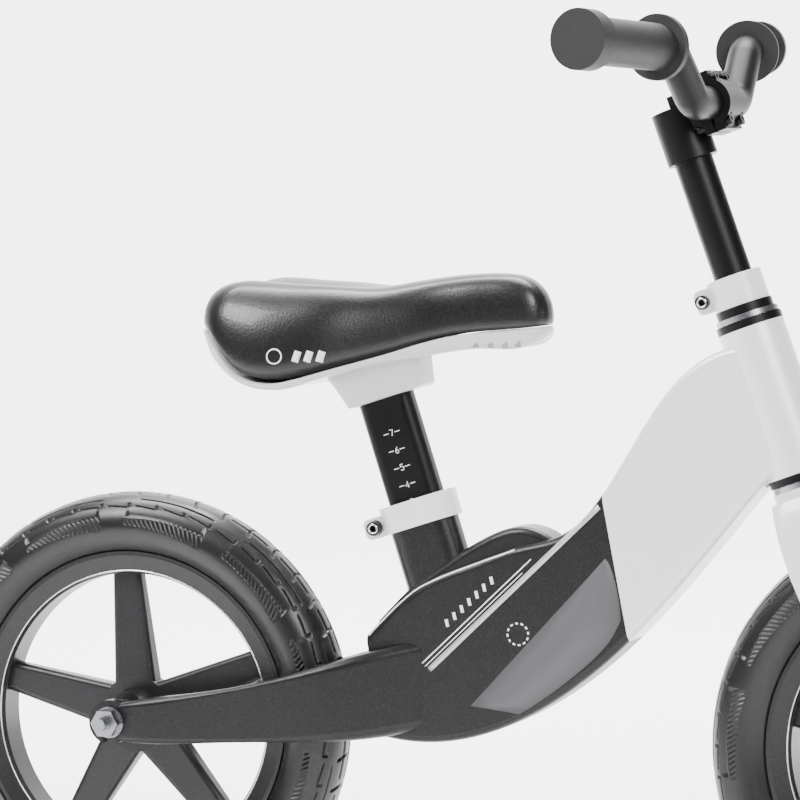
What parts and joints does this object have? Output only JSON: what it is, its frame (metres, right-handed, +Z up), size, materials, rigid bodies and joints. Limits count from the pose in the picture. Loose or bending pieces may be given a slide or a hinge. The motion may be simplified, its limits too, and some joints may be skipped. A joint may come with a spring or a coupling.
{
  "type": "balance bike",
  "caption": "Child's balance bike: cast frame and fork, spoked wheels with air tyres, height-adjustable padded saddle and handlebar, ball-bearing steering and hubs.",
  "frame": {"origin": "on the ground, on the centre plane, midway between the front and rear ends of the tyres", "axes": "+X forwards along the bike, +Y to the rider's left, +Z up"},
  "size_m": [0.864, 0.4212, 0.6258],
  "materials": {
    "frame_paint": "satin",
    "white_paint": "gloss",
    "wheel_paint": "satin",
    "tyre_rubber": "matte",
    "tube_rubber": "matte",
    "post_black": "satin",
    "steel": "satin",
    "black_steel": "satin",
    "white_plastic": "gloss",
    "black_plastic": "matte",
    "saddle_cover": "satin",
    "grip_rubber": "matte"
  },
  "bodies": {
    "frame": {"frame": "frame_paint", "seat_clamp": "white_paint", "seat_clamp_bolt": "steel", "seat_clamp_washer": "steel", "seat_clamp_nut": "steel", "headset_lower_cup": "post_black", "headset_upper_cup": "post_black", "headset_lower_balls": "steel", "headset_upper_balls": "steel", "rear_axle": "steel", "rear_axle_spacers": "steel", "rear_axle_washers": "steel", "rear_axle_nuts": "steel", "rear_bearing_inner_races": "steel", "rear_bearing_balls": "steel"},
    "rear_wheel": {"rear_wheel": "wheel_paint", "rear_tyre": "tyre_rubber", "rear_inner_tube": "tube_rubber", "rear_valve": "steel", "rear_valve_cap": "black_plastic", "rear_bearing_outer_races": "steel", "rear_bearing_seals": "black_plastic"},
    "steering": {"fork": "white_paint", "steerer_tube": "steel", "headset_crown_race": "steel", "headset_upper_race": "steel", "headset_spacer": "post_black", "handlebar_clamp": "white_paint", "handlebar_clamp_bolt": "steel", "handlebar_clamp_nut": "steel", "front_axle": "steel", "front_axle_spacers": "steel", "front_axle_washers": "steel", "front_axle_nuts": "steel", "front_bearing_inner_races": "steel", "front_bearing_balls": "steel"},
    "front_wheel": {"front_wheel": "wheel_paint", "front_tyre": "tyre_rubber", "front_inner_tube": "tube_rubber", "front_valve": "steel", "front_valve_cap": "black_plastic", "front_bearing_outer_races": "steel", "front_bearing_seals": "black_plastic"},
    "handlebar": {"handlebar_post": "post_black", "handlebar_post_plug": "black_plastic", "stem": "post_black", "stem_faceplate": "post_black", "stem_bolts": "black_steel", "handlebar": "post_black", "grip_left": "grip_rubber", "grip_right": "grip_rubber"},
    "seat": {"seat_post": "post_black", "seat_post_plug": "black_plastic", "seat_post_head": "black_plastic", "saddle_base": "white_plastic", "saddle_pad": "saddle_cover", "saddle_screws": "steel"}
  },
  "joints": [
    {"name": "steering", "type": "hinge", "parent": "frame", "child": "steering", "pos_m": [0.18871, 0, 0.32097], "axis": [-0.342, 0, 0.9397], "range_deg": [-120, 120]},
    {"name": "front_wheel_spin", "type": "hinge", "parent": "steering", "child": "front_wheel", "pos_m": [0.28, 0, 0.152], "axis": [0, 1, 0], "continuous": true},
    {"name": "rear_wheel_spin", "type": "hinge", "parent": "frame", "child": "rear_wheel", "pos_m": [-0.28, 0, 0.152], "axis": [0, 1, 0], "continuous": true},
    {"name": "handlebar_height", "type": "slide", "parent": "steering", "child": "handlebar", "axis": [-0.342, 0, 0.9397], "range_m": [-0.05, 0.03]},
    {"name": "seat_height", "type": "slide", "parent": "frame", "child": "seat", "axis": [-0.309, 0, 0.9511], "range_m": [-0.055, 0.03]}
  ]
}
